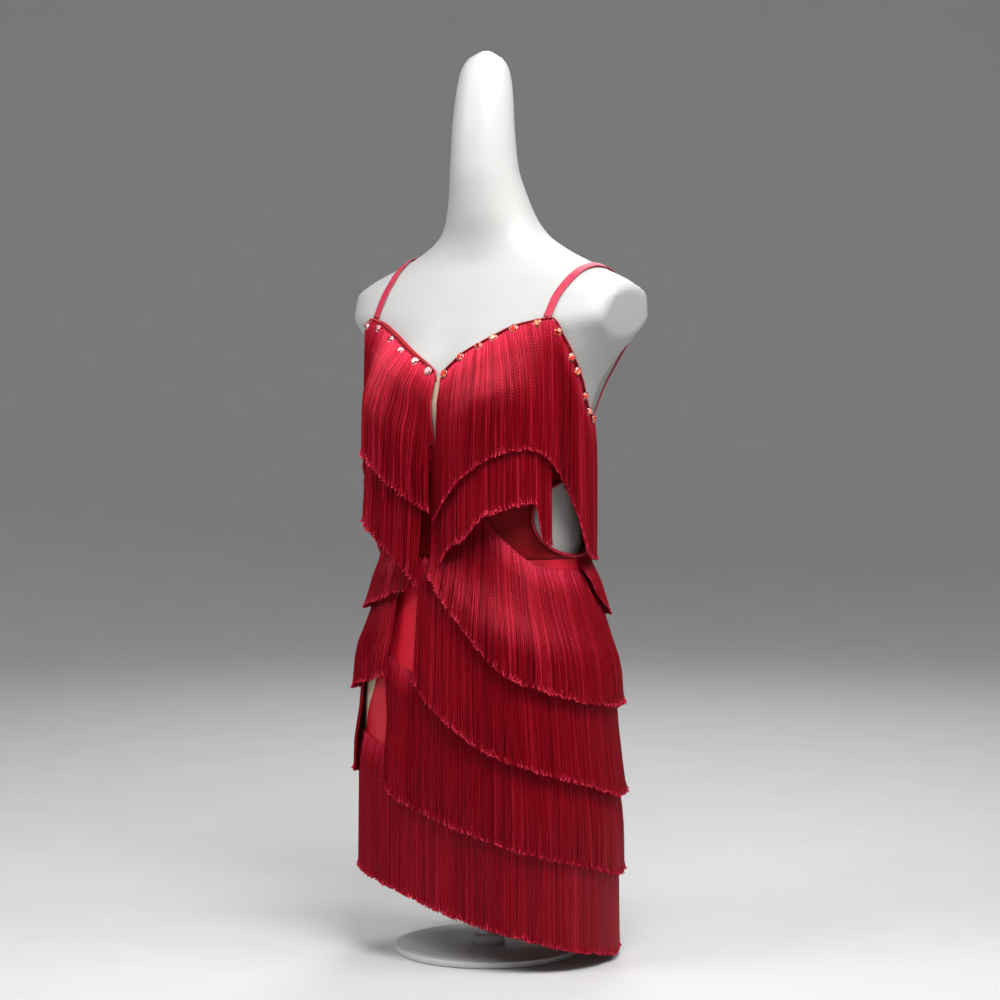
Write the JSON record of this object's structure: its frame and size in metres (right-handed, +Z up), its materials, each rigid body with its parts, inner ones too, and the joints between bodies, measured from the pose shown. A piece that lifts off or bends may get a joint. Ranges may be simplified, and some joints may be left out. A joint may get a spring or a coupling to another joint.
{
  "type": "latin dance dress on a limbless dress form",
  "caption": "Latin dance dress with slanting tiers of long fringe, a side cut-out and a stone-set sweetheart edge, worn by a limbless dress form on a short post and round base.",
  "frame": {"origin": "centre of the round base's underside, on the floor", "axes": "+Z up along the post; the dress faces -Y; +X is the wearer's left side"},
  "size_m": [0.4016, 0.3092, 1.155],
  "materials": {
    "form_gloss": "smooth white lacquered shell",
    "stand_paint": "smooth pale grey paint",
    "stretch_cloth": "smooth red stretch jersey with a soft sheen",
    "nude_mesh": "fine skin-tone stretch mesh",
    "strap_elastic": "ribbed satin elastic",
    "edge_trim": "dark red gathered piping set with stones",
    "fringe_strands": "glossy twisted rayon strands"
  },
  "bodies": {
    "root": {"form_body": "form_gloss", "form_base": "stand_paint", "form_post": "stand_paint", "cup_left": "stretch_cloth", "cup_right": "stretch_cloth", "centre_mesh": "nude_mesh", "front_midriff": "stretch_cloth", "back_bodice": "stretch_cloth", "skirt": "stretch_cloth", "hip_mesh": "nude_mesh", "strap_left": "strap_elastic", "strap_right": "strap_elastic", "edge_trim_left": "edge_trim", "edge_trim_right": "edge_trim", "cutout_binding": "edge_trim", "fringe_tier_d": "fringe_strands", "fringe_tier_c": "fringe_strands", "fringe_tier_b": "fringe_strands", "fringe_tier_a": "fringe_strands", "fringe_waist": "fringe_strands", "fringe_under_left": "fringe_strands", "fringe_under_right": "fringe_strands", "fringe_back": "fringe_strands", "fringe_bust_left": "fringe_strands", "fringe_bust_right": "fringe_strands"}
  },
  "joints": []
}
